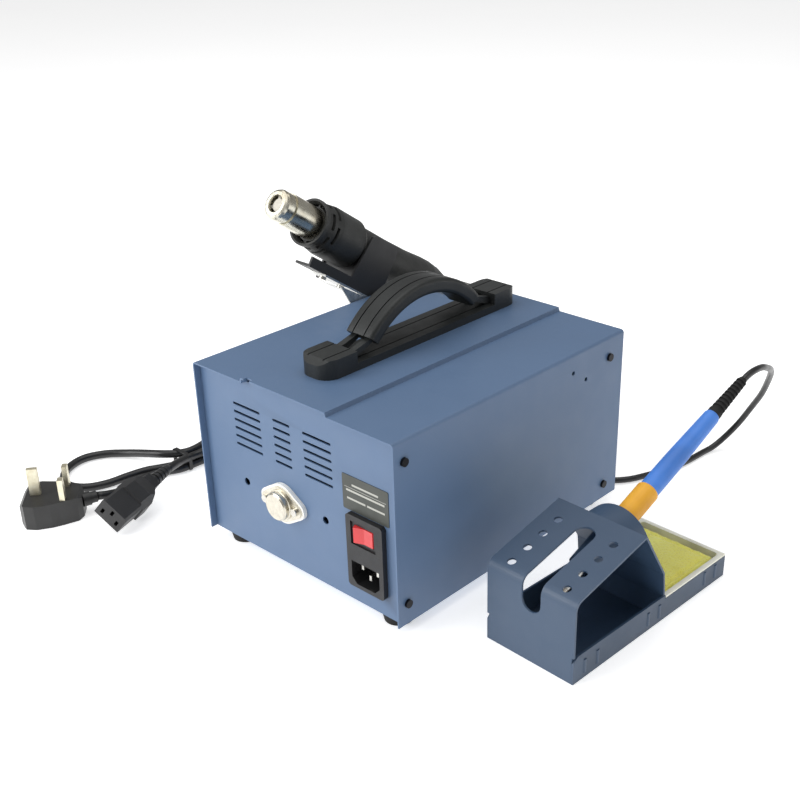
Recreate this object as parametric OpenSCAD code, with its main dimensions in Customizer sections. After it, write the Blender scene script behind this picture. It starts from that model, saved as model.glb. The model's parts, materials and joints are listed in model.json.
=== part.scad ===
// Hot air rework station: a sheet-metal case with a carry handle, a hot air gun in a
// side holder, a soldering iron in its stand with a sponge tray, and a loose mains lead.
// X runs to the right seen from the front, the front faces -Y, and Z is up from the surface.
// The origin is on the surface, under the middle of the case.

/* [Case] */
// Width of the case over its cover
case_w = 196.7; // [190:0.1:204]
// Depth of the cover, front edge to rear edge
case_d = 245; // [240:1:252]
// Height of the cover's top above the surface
case_top = 144.4; // [142:0.1:148]
// Height of the rubber feet
foot_h = 9; // [7:0.5:12]
// Thickness of the steel sheet
sheet = 1.2; // [0.8:0.1:1.5]
// Height of the raised strip along the top
plateau_h = 3; // [2:0.5:4]

/* [Handle] */
// Height of the handle's end pads
pad_h = 14; // [12:1:16]
// Outer radius of the handle's grip
grip_r = 77; // [74:1:80]
// Width of the grip
grip_w = 26; // [22:1:28]

/* [Gun] */
// Angle of the gun above the horizontal
gun_angle = 34.4; // [30:0.1:38]
// Outer radius of the heater tube
heater_r = 13; // [12:0.5:13]
// Outer radius of the gun's grip behind the step
gun_r = 17.6; // [16:0.1:17.6]

/* [Iron and stand] */
// Width of the stand
stand_w = 72; // [70:1:76]
// Length of the stand's base
stand_l = 169.5; // [168:0.5:172]
// Angle of the iron above the horizontal
iron_angle = 22.5; // [21:0.5:24]
// Outer radius of the iron's front sleeve
sleeve_r = 8.2; // [7.5:0.1:8.3]

/* [Cords] */
// Diameter of the iron's cord
iron_cord_d = 5; // [4.5:0.1:5]
// Diameter of the mains lead
lead_d = 6.8; // [6:0.1:7]

/* [Hidden] */

$fn = 48;
// A small overlap that makes a cut run past a face
cut = 1;
// Clearance between a screw and the plain hole that it goes through
screw_gap = 0.15;

// Case planes and panels
side_x = case_w / 2;
half_d = case_d / 2;
rear_y = half_d - 5;
front_y = -half_d + 13;
panel_x = side_x - sheet - 0.15;
panel_top = case_top - sheet - 0.3;
fascia_t = 1;
fascia_y = front_y - fascia_t;
bend_r = 2.5;
plateau_x = [-39, 46.3];
flange_w = 12;
side_screws = [[rear_y - 3.9, case_top - 14.6], [rear_y - 3.9, 24.9],
    [front_y + 4.4, case_top - 16.3], [front_y + 4.4, 21.6]];
holder_holes = [[-61, 129.8], [-76.7, 119.9]];
m3_r = 1.5;
m3_head_r = 3;
m3_head_h = 1.9;

// Rear panel
vent_columns = [[34.3, 62.7], [3.7, 21], [-36.5, -9]];
vent_rows = 6;
vent_z = 90.4;
vent_pitch = 6.3;
vent_h = 2;
to3_at = [14, 60];
to3_screw_x = 15.2;
plain_hole_x = 41;
plain_hole_r = 2.9;
module_x = [-84.5, -51];
module_z = [23.5, 79];
module_proud = 4;
module_mid = (module_x[0] + module_x[1]) / 2;
module_body = [28.6, 23, 52];
module_body_z = 25.2;
rocker_l = 17;
rocker_w = 11.6;
rocker_tilt = 10;
power_pivot = [-66.8, rear_y + 0.9, 66];
inlet_z = [26.6, 43.9];
inlet_floor_y = rear_y - 11;

// Front panel
air_x = 40;
iron_x = -42;
display_z = 110;
display_size = [46, 22];
knob_z = 76;
knob_x = [air_x + 22, air_x - 18, iron_x];
switch_at = [[22, 34], [-20, 34]];
socket_at = [-60, 32];
gland_at = [72, 34];
knob_r = 10;
knob_h = 14;
shaft_r = 3;
shaft_len = 8.5;
running_gap = 0.05;
housing = [14.6, 12, 19.6];

// Handle
handle_x = 8;
rail_y = [-112, 91];
rail_w = 30;
rail_h = 5.5;
pad_l = 29;
top_z = case_top + plateau_h;
grip_mid_y = (rail_y[0] + rail_y[1]) / 2;
grip_mid_z = 114;
grip_t = 11;
grip_half_angle = 48;

// Gun: Z runs out of the nozzle along the gun's axis, and -Y is up and back
gun_x = 122;
gun_tip = [gun_x, 17, 230.5];
cradle_w = 43.6;
cradle_wall = 2;
cradle_base = 31;
cradle_strip = 16;
cheek_t = -88;
bracket_t = 1.5;
gun_screw_t = [-100, -150, -195];
seat_from = -36;
cap_t = -11;
tube_back_r = heater_r - 0.4;

// Stand: its own frame is turned a little about Z
stand_at = [-179, -1, 0];
stand_turn = -2.35;
stand_t = 1.5;
stand_y = [-stand_l / 2 - 0.25, stand_l / 2 - 0.25];
flange_h = 19.7;
tray_flange_h = 16.2;
tray_y = -12.6;
plate_top = [14, 76.5];
iron_pivot = [0, -37, 75];
guide_r = 10;
collar_r = 26.5;
collar_z = 50;
tray_gap = 0.4;

// Routes: points chosen by hand along each cord's middle line
iron_r = iron_cord_d / 2;
lead_r = lead_d / 2;
lead_2 = 1.5 * lead_d + 0.3;
rise_route = [[-185, -145, 119.4], [-185.5, -155, 122.5], [-185.5, -165, 122.8],
    [-184, -178, 120], [-181, -192, 114], [-175, -210, 105], [-167, -228, 93],
    [-158, -243, 78], [-148, -255, 60], [-137, -262, 42], [-127, -262, 24],
    [-119, -254, 10.5], [-114.5, -244, 4], [-112.2, -234.2, iron_r]];
floor_route = [[-112, -233, iron_r], [-110, -208, iron_r], [-106, -188, iron_r],
    [-99, -170, iron_r], [-91, -153, iron_r], [-79, -141, iron_r], [-64, -137, iron_r],
    [-48, -139, iron_r], [-32, -146, iron_r], [-14, -154, iron_r]];
coil_at = [-8, -185];
coil_turn_r = [25, 30];
end_route = [[-24, -211, 8.5], [-36, -203, 12], [-46, -191, 18], [-54, -177, 25],
    [-58, -162, 30], [-60, -152, 32], [-60, -144, 32]];
plug_run_route = [[199.5, 156, 12], [198, 147, 10], [199, 137, 7.5], [203, 127, 5],
    [207, 117, 3.8], [209, 107, lead_r], [208, 97, lead_r], [205, 87, lead_r],
    [201, 79, lead_r], [199.2, 74, lead_r]];
loop_route = [[208, 74, lead_r], [210, 80, lead_r], [214, 88, lead_r],
    [219, 98, lead_r], [222, 113, lead_r], [224, 130, lead_r], [231, 145, lead_r],
    [244, 153, lead_r], [259, 150, lead_r], [272, 137, lead_r], [277, 119, lead_r],
    [270, 102, lead_r], [255, 90, 4.5], [241, 85, 7.2], [228, 81.5, 9.9],
    [219, 77, 10.9], [215, 73.6, 10.8]];
c13_run_route = [[185.2, 99, 16.7], [189.5, 87.5, 15.8], [194.5, 77.5, 13.4], [196.4, 74, 12.4]];
hank_x = [176, 225];
hank_y = [-120, 30];
neck_x = [195.4, 215.4];
neck_y = [60, 73];
hank_h = lead_2 + lead_r;

// ---- shared shapes ----

function unit(v) = v / norm(v);
function bend(p0, p1, p2, p3, t) = 0.5 * (2 * p1 + (p2 - p0) * t
    + (2 * p0 - 5 * p1 + 4 * p2 - p3) * t * t + (3 * p1 - p0 - 3 * p2 + p3) * t * t * t);
function smooth_route(p, parts) = let (last = len(p) - 1) concat(
    [for (i = [0:last - 1], j = [0:parts - 1])
        bend(p[max(i - 1, 0)], p[i], p[i + 1], p[min(i + 2, last)], j / parts)],
    [p[last]]);
function heading(q, i) = unit(q[min(i + 1, len(q) - 1)] - q[max(i - 1, 0)]);

// A round cord swept along a route. No stretch of the route runs along ref
module cord_tube(route, r, ref = [0, 0, 1], parts = 1, sides = 8) {
    q = smooth_route(route, parts);
    rings = len(q);
    points = [for (i = [0:rings - 1], k = [0:sides - 1])
        let (t = heading(q, i), s = unit(cross(ref, t)), u = cross(t, s),
            a = 360 * k / sides)
        q[i] + r * (cos(a) * s + sin(a) * u)];
    walls = [for (i = [0:rings - 2], k = [0:sides - 1])
        let (n = (k + 1) % sides)
        [i * sides + k, (i + 1) * sides + k, (i + 1) * sides + n, i * sides + n]];
    first = [for (k = [0:sides - 1]) k];
    last = [for (k = [sides - 1:-1:0]) (rings - 1) * sides + k];
    polyhedron(points = points, faces = concat([first, last], walls), convexity = 6);
}

module rounded_rect(size, r) {
    square([size[0] - 2 * r, size[1]], center = true);
    square([size[0], size[1] - 2 * r], center = true);
    for (sx = [-1, 1], sy = [-1, 1])
        translate([sx * (size[0] / 2 - r), sy * (size[1] / 2 - r)]) circle(r);
}

module slot_between(x0, x1, z, h) {
    translate([x0 + h / 2, z - h / 2]) square([x1 - x0 - h, h]);
    translate([x0 + h / 2, z]) circle(h / 2, $fn = 24);
    translate([x1 - h / 2, z]) circle(h / 2, $fn = 24);
}

// A 2D shape in X and Z, made solid from y down to y - t
module upright(y, t) {
    translate([0, y, 0]) rotate([90, 0, 0]) linear_extrude(t) children();
}

// A 2D shape in Y and Z, made solid from x to x + w
module sideways(x, w) {
    translate([x, 0, 0]) rotate([90, 0, 90]) linear_extrude(w) children();
}

// A round piece along Y, its flat end at y0 and its other end at y1
module rod_y(x, z, y0, y1, r) {
    translate([x, max(y0, y1), z]) rotate([90, 0, 0]) cylinder(r = r, h = abs(y1 - y0));
}

// A round piece along X from x0 to x1
module rod_x(y, z, x0, x1, r) {
    translate([min(x0, x1), y, z]) rotate([0, 90, 0]) cylinder(r = r, h = abs(x1 - x0));
}

// The outline of a TO-3 flange: a disc with a lobe at each screw
module to3_outline(r, lobe_r, d) {
    a = acos((r - lobe_r) / d);
    circle(r);
    for (s = [-1, 1]) {
        translate([s * d, 0]) circle(lobe_r);
        polygon([[s * r * cos(a), r * sin(a)], [s * (d + lobe_r * cos(a)), lobe_r * sin(a)],
            [s * (d + lobe_r * cos(a)), -lobe_r * sin(a)], [s * r * cos(a), -r * sin(a)]]);
    }
}

// ---- case ----

module cover_outline(inset) {
    x = side_x - inset;
    z = case_top - inset;
    r = max(bend_r - inset, 0.5);
    translate([-x + r, foot_h - cut * inset]) square([2 * (x - r), z - foot_h + cut * inset]);
    translate([-x, foot_h - cut * inset]) square([2 * x, z - r - foot_h + cut * inset]);
    for (s = [-1, 1]) translate([s * (x - r), z - r]) circle(r, $fn = 32);
    rise = plateau_h;
    polygon([[plateau_x[0] + inset, z - cut], [plateau_x[0] + inset, z],
        [plateau_x[0] + inset + 1, z + rise], [plateau_x[1] - inset - 1, z + rise],
        [plateau_x[1] - inset, z], [plateau_x[1] - inset, z - cut]]);
}

module cover() color("slategray") difference() {
    upright(half_d, case_d) difference() {
        cover_outline(0);
        cover_outline(sheet);
    }
    for (p = side_screws)
        rod_x(p[0], p[1], -side_x - cut, side_x + cut, m3_r + screw_gap);
    for (p = holder_holes)
        rod_x(p[0], p[1], -side_x - cut, side_x + cut, m3_r + 0.2);
    translate([36, half_d - 3, case_top + plateau_h - sheet - cut]) cube([6, 3 + cut, 4]);
}

module rear_outline() {
    difference() {
        translate([-panel_x, foot_h]) square([2 * panel_x, panel_top - foot_h]);
        for (i = [0:vent_rows - 1], c = vent_columns)
            slot_between(c[0], c[1], vent_z + i * vent_pitch, vent_h);
        translate(to3_at) circle(7);
        for (s = [-1, 1]) {
            translate([to3_at[0] + s * to3_screw_x, to3_at[1]]) circle(m3_r + screw_gap);
            translate([to3_at[0] + s * plain_hole_x, to3_at[1] + 1.5]) circle(plain_hole_r);
        }
        translate([module_mid - module_body[0] / 2 - 0.2, module_body_z - 0.2])
            square([module_body[0] + 0.4, module_body[2] + 0.4]);
    }
}

// The openings that the front panel and its fascia share
module front_cuts() {
    for (x = knob_x) translate([x, knob_z]) circle(4.7);
    for (p = switch_at)
        translate(p) square([housing[0] + 0.4, housing[2] + 0.4], center = true);
    translate(socket_at) circle(8.2);
    translate(gland_at) circle(9.7);
}

module chassis() color("lightsteelblue") difference() {
    union() {
        upright(rear_y, sheet) rear_outline();
        upright(front_y + sheet, sheet) difference() {
            translate([-panel_x, foot_h]) square([2 * panel_x, panel_top - foot_h]);
            front_cuts();
            for (x = [air_x, iron_x]) translate([x, display_z])
                square(display_size - [8, 6], center = true);
        }
        translate([-panel_x, front_y, foot_h])
            cube([2 * panel_x, rear_y - front_y, sheet]);
        for (s = [-1, 1]) {
            x = s > 0 ? panel_x - sheet : -panel_x;
            translate([x, rear_y - flange_w, foot_h]) cube([sheet, flange_w, panel_top - foot_h]);
            translate([x, front_y, foot_h]) cube([sheet, flange_w, panel_top - foot_h]);
        }
        for (x = [-80, -6], y = [-80, -4])
            translate([x, y, foot_h]) cylinder(r = 3, h = 9);
    }
    for (p = side_screws)
        rod_x(p[0], p[1], -side_x, side_x, m3_r + screw_gap);
}

module fascia() color("dimgray")
    upright(front_y, fascia_t) difference() {
        translate([0, (panel_top + foot_h) / 2])
            rounded_rect([2 * panel_x - 4, panel_top - foot_h - 4], 3);
        front_cuts();
        for (x = [air_x, iron_x]) translate([x, display_z])
            square(display_size - [8, 6], center = true);
    }

module pan_screw(length) {
    cylinder(r = m3_head_r, h = m3_head_h);
    translate([0, 0, -length]) cylinder(r = m3_r, h = length + cut);
}

module case_screws() color("black")
    for (s = [-1, 1], p = side_screws)
        translate([s * side_x, p[0], p[1]]) rotate([0, s * 90, 0]) pan_screw(7);

module feet() color("black")
    for (x = [-80, 80], y = [-104, 104])
        translate([x, y, 0]) cylinder(r1 = 10, r2 = 12, h = foot_h);

// ---- carry handle ----

module handle_profile() {
    a = rail_y[0];
    b = rail_y[1];
    polygon([[a, 0], [b, 0], [b, pad_h - 4], [b - 5, pad_h], [b - pad_l, pad_h],
        [b - pad_l, rail_h], [a + pad_l, rail_h], [a + pad_l, pad_h], [a + 5, pad_h],
        [a, pad_h - 4]]);
}

module handle_base() color("black") difference() {
    intersection() {
        translate([0, 0, top_z]) sideways(handle_x - rail_w / 2, rail_w) handle_profile();
        translate([handle_x, grip_mid_y, top_z]) linear_extrude(pad_h)
            rounded_rect([rail_w, rail_y[1] - rail_y[0]], 12);
    }
    for (s = [-1, 1]) {
        translate([handle_x + s * 7.5 - 0.5, rail_y[0] - cut, top_z + pad_h - 0.8])
            cube([1, rail_y[1] - rail_y[0] + 2 * cut, 2]);
        translate([handle_x + s * 7.5 - 0.5, rail_y[0] + pad_l, top_z + rail_h - 0.8])
            cube([1, rail_y[1] - rail_y[0] - 2 * pad_l, 2]);
        mid = grip_mid_y + s * ((rail_y[1] - rail_y[0]) / 2 - pad_l);
        translate([handle_x - 9.5, mid - 2, top_z + rail_h]) cube([19, 4, 5.5]);
    }
}

module at_grip() translate([handle_x, grip_mid_y, grip_mid_z]) rotate([90, 0, 90]) children();

module handle_grip() color("black") at_grip()
    rotate([0, 0, 90 - grip_half_angle]) rotate_extrude(angle = 2 * grip_half_angle, $fn = 96)
        translate([grip_r - grip_t / 2, 0]) difference() {
            rounded_rect([grip_t, grip_w], 3);
            for (s = [-1, 1]) translate([grip_t / 2, s * 5.5]) square([1.6, 1], center = true);
        }

// The strap shows as two strips at each end, between the grip and the pad
module handle_strap() color("black") {
    r = grip_r - grip_t / 2;
    start = [r * sin(grip_half_angle), grip_mid_z + r * cos(grip_half_angle)];
    out = 1.8 * [sin(grip_half_angle), cos(grip_half_angle)];
    pad_face = (rail_y[1] - rail_y[0]) / 2 - pad_l;
    for (end = [-1, 1], side = [-1, 1])
        translate([handle_x + side * 6.5, grip_mid_y, 0]) mirror([0, end < 0 ? 1 : 0, 0])
            sideways(-2.5, 5) polygon([start - out, start + out,
                [pad_face + 2, top_z + rail_h + 5.1], [pad_face + 2, top_z + rail_h + 0.4],
                [pad_face - 3, top_z + rail_h + 0.4]]);
}

// ---- rear panel pieces ----

module rocker_shape(length, width, pins) {
    sideways(-width / 2, width) intersection() {
        circle(length / 2);
        polygon([[-length, -2.5], [length, -2.5], [length, 5], [length / 2, 3.9], [0, 2.3],
            [-length / 2, 3.9], [-length, 5]]);
    }
    rod_x(0, 0, -width / 2 - pins, width / 2 + pins, 1);
}

module inlet_outline(inset) {
    x0 = module_mid - 12.9 + inset;
    x1 = module_mid + 12.9 - inset;
    c = 4.5;
    polygon([[x0, inlet_z[1] - inset], [x0, inlet_z[0] + inset + c], [x0 + c, inlet_z[0] + inset],
        [x1 - c, inlet_z[0] + inset], [x1, inlet_z[0] + inset + c], [x1, inlet_z[1] - inset]]);
}

module inlet_module() color("black") difference() {
    union() {
        upright(rear_y + module_proud, module_proud) translate([module_mid,
            (module_z[0] + module_z[1]) / 2])
            rounded_rect([module_x[1] - module_x[0], module_z[1] - module_z[0]], 2.5);
        translate([module_mid - module_body[0] / 2, rear_y - module_body[1], module_body_z])
            cube(module_body);
    }
    upright(rear_y + module_proud + cut, module_proud + cut + rear_y - inlet_floor_y)
        inlet_outline(0);
    upright(rear_y + module_proud + cut, cut + 1.2)
        translate([power_pivot[0], power_pivot[2]]) square([22.6, 17.4], center = true);
    upright(rear_y + module_proud + cut, 15) translate([power_pivot[0], power_pivot[2]])
        square([rocker_l + 0.7, rocker_w + 0.7], center = true);
    translate([power_pivot[0], power_pivot[1], power_pivot[2] - rocker_w / 2 - 1.8])
        cylinder(r = 1 + running_gap, h = rocker_w + 3.6);
}

module inlet_pins() color("silver") {
    y = inlet_floor_y;
    for (p = [[-7, 38.4], [7, 38.4], [0, 32.4]])
        translate([module_mid + p[0] - 1, y, p[1] - 2]) cube([2, 10.5, 4]);
}

module power_rocker() color("red")
    translate(power_pivot) rotate([0, 0, rocker_tilt]) rotate([-90, 90, 0])
        rocker_shape(rocker_l, rocker_w, 1.2);

module rating_label() color("darkslategray")
    upright(rear_y + 0.4, 0.4) translate([-67, 92.6]) rounded_rect([42, 26], 1);

module to3_insulator() color("white")
    upright(rear_y + 3, 3) translate(to3_at) difference() {
        to3_outline(15, 7, to3_screw_x);
        circle(7);
        for (s = [-1, 1]) translate([s * to3_screw_x, 0]) circle(m3_r + screw_gap);
    }

module to3_package() color("silver") {
    upright(rear_y + 4.5, 1.5) translate(to3_at) difference() {
        to3_outline(13.2, 5, to3_screw_x);
        for (s = [-1, 1]) translate([s * to3_screw_x, 0]) circle(m3_r + screw_gap);
    }
    translate([to3_at[0], rear_y + 4.4, to3_at[1]]) rotate([-90, 0, 0])
        rotate_extrude() polygon([[0, 0], [11.4, 0], [11.4, 1.1], [10.5, 1.5], [10.5, 4.3],
            [9.4, 5.4], [0, 5.4]]);
    for (s = [-1, 1])
        rod_y(to3_at[0] + s * 5.4, to3_at[1], rear_y - 8, rear_y + 4, 0.5);
}

module to3_screws() color("silver")
    for (s = [-1, 1]) {
        x = to3_at[0] + s * to3_screw_x;
        rod_y(x, to3_at[1], rear_y + 4.5, rear_y + 6.6, 2.8);
        rod_y(x, to3_at[1], rear_y - 6, rear_y + 5, m3_r);
    }

// ---- inside the case ----

module transformer() color("goldenrod") {
    base = foot_h + sheet;
    translate([-80, 22, base]) cube([64, 44, 4]);
    translate([-76, 30, base + 3]) cube([56, 28, 52]);
    translate([-62, 24, base + 15]) cube([28, 40, 30]);
}

module pump_body() color("dimgray") {
    base = foot_h + sheet;
    translate([22, -30, base]) cube([62, 80, 8]);
    translate([28, -26, base + 7]) cube([50, 72, 40]);
    rod_y(53, 74, -20, 40, 17);
    rod_y(gland_at[0], gland_at[1], -38, -25, 2.9);
}

module air_tube() color("ivory") difference() {
    rod_y(gland_at[0], gland_at[1], front_y + 4, -27.5, 5);
    rod_y(gland_at[0], gland_at[1], front_y, -20, 2.9 + running_gap);
}

module main_board() color("darkgreen") {
    z = foot_h + 9;
    translate([-86, -86, z]) cube([86, 88, 1.6]);
    for (p = [[-70, -66, 9, 24], [-46, -62, 6.5, 16], [-28, -66, 6.5, 16]])
        translate([p[0], p[1], z + 1.5]) cylinder(r = p[2], h = p[3]);
    translate([-72, -36, z + 1.5]) cube([19, 15, 16]);
    translate([-40, -40, z + 1.5]) cube([30, 4, 30]);
    translate([-40, -24, z + 1.5]) cube([30, 16, 12]);
}

module control_board() color("darkgreen") {
    y = front_y + sheet + 12;
    translate([-88, y, 52]) cube([176, 1.6, 82]);
    for (x = knob_x) {
        rod_y(x, knob_z, y + 0.2, front_y + sheet, 8);
        rod_y(x, knob_z, front_y + sheet + cut, fascia_y + 0.1, 4.5);
        rod_y(x, knob_z, front_y, fascia_y - shaft_len, shaft_r);
    }
    for (x = [air_x, iron_x])
        translate([x - 18, front_y + sheet + 0.3, display_z - 8.5]) cube([36, 12, 17]);
}

// ---- front panel pieces ----

module display_windows() color("maroon")
    for (x = [air_x, iron_x])
        upright(fascia_y, 1.2) translate([x, display_z]) rounded_rect(display_size, 1.5);

module switch_housings() color("black")
    for (p = switch_at) difference() {
        union() {
            upright(fascia_y, 1.6) translate(p) rounded_rect([18, 23], 1.5);
            translate([p[0] - housing[0] / 2, fascia_y - cut, p[1] - housing[2] / 2])
                cube([housing[0], housing[1] + cut, housing[2]]);
        }
        translate([p[0] - rocker_w / 2 - 0.3, fascia_y - 3, p[1] - rocker_l / 2 - 0.35])
            cube([rocker_w + 0.6, 11, rocker_l + 0.7]);
        rod_x(fascia_y + 0.7, p[1], p[0] - 8, p[0] + 8, 1 + running_gap);
    }

module front_rocker(p, tilt) {
    translate([p[0], fascia_y + 0.7, p[1]]) rotate([90 + tilt, 0, 0])
        rocker_shape(rocker_l, rocker_w, 1.2);
}

module switch_air() color("firebrick") front_rocker(switch_at[0], -rocker_tilt);

module switch_iron() color("firebrick") front_rocker(switch_at[1], -rocker_tilt);

// A knob on a potentiometer's shaft, its axis along Y
module knob(x) {
    grips = 10;
    bore = shaft_r + running_gap;
    translate([x, fascia_y - 0.5, knob_z]) rotate([90, 0, 0]) difference() {
        union() {
            cylinder(r = knob_r + 1.5, h = 2);
            linear_extrude(knob_h - 1) difference() {
                circle(knob_r);
                for (k = [0:grips - 1]) rotate([0, 0, 360 * (k + 0.5) / grips])
                    translate([knob_r + 0.6, 0]) circle(1.4, $fn = 24);
            }
            translate([0, 0, knob_h - 1.5]) cylinder(r = knob_r - 1.2, h = 1.5);
        }
        translate([0, 0, -cut]) cylinder(r = bore, h = shaft_len + 0.5 + cut);
        translate([-0.5, 3.2, knob_h - 0.6]) cube([1, 4.6, 2]);
    }
}

module knob_air_temp() color("gray") knob(knob_x[0]);

module knob_air_flow() color("gray") knob(knob_x[1]);

module knob_iron_temp() color("gray") knob(knob_x[2]);

module iron_socket() color("silver") difference() {
    union() {
        rod_y(socket_at[0], socket_at[1], fascia_y, fascia_y - 2.5, 10);
        rod_y(socket_at[0], socket_at[1], fascia_y + 12, fascia_y - 2, 8);
    }
    rod_y(socket_at[0], socket_at[1], fascia_y + 9, fascia_y - 4, 6.2);
}

module hose_gland() color("black") difference() {
    union() {
        rod_y(gland_at[0], gland_at[1], fascia_y, fascia_y - 5, 13);
        rod_y(gland_at[0], gland_at[1], fascia_y + 12, fascia_y - 4, 9.5);
    }
    rod_y(gland_at[0], gland_at[1], fascia_y + 13, fascia_y - 6, 6.5);
}

// ---- hot air gun and holder ----

module at_gun() translate(gun_tip) rotate([gun_angle - 90, 0, 0]) children();

// The outer radius and inner radius follow one wall profile along the gun's axis
gun_wall = [[20.5, -60], [20.5, -84], [18.6, -87], [gun_r, -89], [gun_r, -121],
    [18.5, -150], [20.2, -170], [20.5, -180], [19.6, -192], [17.6, -202], [13, -212]];

module gun_half(turn) {
    inner = [for (i = [len(gun_wall) - 1:-1:0]) [gun_wall[i][0] - 2, gun_wall[i][1]]];
    rotate([0, 0, turn]) rotate_extrude(angle = 180, $fn = 64)
        polygon(concat(gun_wall, inner));
}

module gun_shell_left() color("black") at_gun() difference() {
    union() {
        gun_half(90);
        for (t = gun_screw_t) translate([0, 0, t]) rod_x(0, 0, -16.2, 0, 3.4);
    }
    for (t = gun_screw_t) translate([0, 0, t]) rod_x(0, 0, -10, cut, 1.35);
}

module gun_shell_right() color("black") at_gun() difference() {
    union() {
        gun_half(-90);
        for (t = gun_screw_t) translate([0, 0, t]) rod_x(0, 0, 0, 16.2, 3.4);
    }
    for (t = gun_screw_t) translate([0, 0, t]) {
        rod_x(0, 0, -cut, 14, 1.35);
        rod_x(0, 0, 12, 24, 3.1);
    }
}

module gun_screws() color("silver") at_gun()
    for (t = gun_screw_t) translate([0, 0, t]) {
        rod_x(0, 0, 12, 14.4, 2.9);
        rod_x(0, 0, -8, 13, 1.2);
    }

module gun_guard() color("black") at_gun() {
    slots = 6;
    difference() {
        rotate_extrude($fn = 64) polygon([[17.4, -38], [19.2, -38], [19.2, -41], [17.8, -42],
            [17.8, -43.6], [18.8, -47], [19.6, -52], [20.5, -57], [20.5, -60], [18.5, -60],
            [18.5, -57], [15.8, -44], [15.8, -41]]);
        for (row = [0, 1], k = [0:slots - 1])
            rotate([0, 0, 360 * (k + row / 2) / slots]) rotate_extrude(angle = 42, $fn = 64)
                translate([14, -48 - 5.5 * row]) square([9, 2.6]);
    }
    rotate_extrude($fn = 64) polygon([[tube_back_r + 0.1, -58], [tube_back_r + 0.1, -42],
        [tube_back_r + 1.4, -42], [tube_back_r + 1.4, -58]]);
    for (k = [0:7]) rotate([0, 0, 45 * k])
        translate([tube_back_r + 1, -0.8, -45]) cube([3.4, 1.6, 2.5]);
}

module heater_tube() color("silver") at_gun() difference() {
    union() {
        translate([0, 0, seat_from]) cylinder(r = heater_r, h = cap_t - seat_from);
        translate([0, 0, -70]) cylinder(r = tube_back_r, h = 70 + seat_from + cut);
    }
    translate([0, 0, -71]) cylinder(r = heater_r - 1.2, h = 64);
}

module nozzle_cap() color("silver") at_gun() rotate_extrude() polygon([[7, 0], [9.6, 0],
    [11.2, -0.9], [12.1, -2.8], [12.1, -9.6], [11.6, -10.2], [11.6, cap_t], [10.8, cap_t],
    [10.8, -3], [7, -2.4]]);

module heater_core() color("linen") at_gun() {
    translate([0, 0, -66]) cylinder(r = 7.5, h = 52);
    translate([0, 0, -15]) cylinder(r = 5, h = 12);
    for (a = [0, 90]) rotate([0, 0, a + 20])
        translate([-10.7, -1.2, -5.5]) cube([21.4, 2.4, 1.8]);
}

module gun_tail() color("black") at_gun() rotate_extrude() polygon([[6, -226], [9, -226],
    [9.6, -223], [11, -222], [12.8, -215], [12.8, -212], [6, -212]]);

module holder_bracket() color("gray") difference() {
    union() {
        at_gun() translate([-gun_x + side_x, cradle_base + cradle_wall, -110]) {
            cube([41.5, bracket_t, cheek_t + 110]);
            cube([18, bracket_t, 57]);
        }
        sideways(side_x, bracket_t) polygon([[-22.3, 160.2], [-54.8, 139.9], [-92, case_top + 0.2],
            [-122, case_top + 0.2], [-122, 108], [-50, 108], [-34, 140]]);
        translate([50, -122, case_top]) cube([side_x - 50 + bracket_t, 30, bracket_t]);
    }
    for (p = holder_holes) rod_x(p[0], p[1], side_x - cut, side_x + 3, m3_r + screw_gap);
    for (p = side_screws) rod_x(p[0], p[1], side_x - cut, side_x + 3, m3_head_r + 0.4);
    at_gun() for (t = [-60, -82, -104]) translate([-14, cradle_base - cut, t])
        rotate([-90, 0, 0]) cylinder(r = m3_r + screw_gap, h = 8);
}

module holder_cradle() color("black") at_gun() {
    w = cradle_w / 2;
    difference() {
        union() {
            translate([-w, cradle_base, -121]) cube([cradle_w, cradle_wall, 121 + cheek_t]);
            translate([-w, cradle_base, -121]) cube([cradle_strip, cradle_wall, 86]);
            translate([-w, 0, 0]) rotate([90, 0, 90]) linear_extrude(cradle_wall)
                polygon([[cradle_base + cut, -35], [25, -35], [25, -82], [-11, cheek_t],
                    [-13, -92], [-13, -121], [cradle_base + cut, -121]]);
            translate([w - cradle_wall, 0, 0]) rotate([90, 0, 90]) linear_extrude(cradle_wall)
                polygon([[cradle_base + cut, cheek_t], [-11, cheek_t], [-13, -92], [-13, -121],
                    [cradle_base + cut, -121]]);
        }
        for (t = [-60, -82, -104]) translate([-14, cradle_base - cut, t])
            rotate([-90, 0, 0]) cylinder(r = m3_r + screw_gap, h = 8);
    }
    translate([0, 0, -117]) linear_extrude(27) difference() {
        translate([-w + cut, 0]) square([cradle_w - 2 * cut, 24]);
        circle(gun_r + 0.4);
    }
}

module holder_screws() color("silver") {
    for (p = holder_holes)
        translate([side_x + bracket_t, p[0], p[1]]) rotate([0, 90, 0]) pan_screw(9);
    at_gun() for (t = [-60, -82, -104])
        translate([-14, cradle_base + cradle_wall + bracket_t, t]) rotate([-90, 0, 0])
            pan_screw(4);
}

// ---- iron stand ----

module at_stand() translate(stand_at) rotate([0, 0, stand_turn]) children();

module at_iron() at_stand() translate(iron_pivot) rotate([90 - iron_angle, 0, 0]) children();

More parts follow.
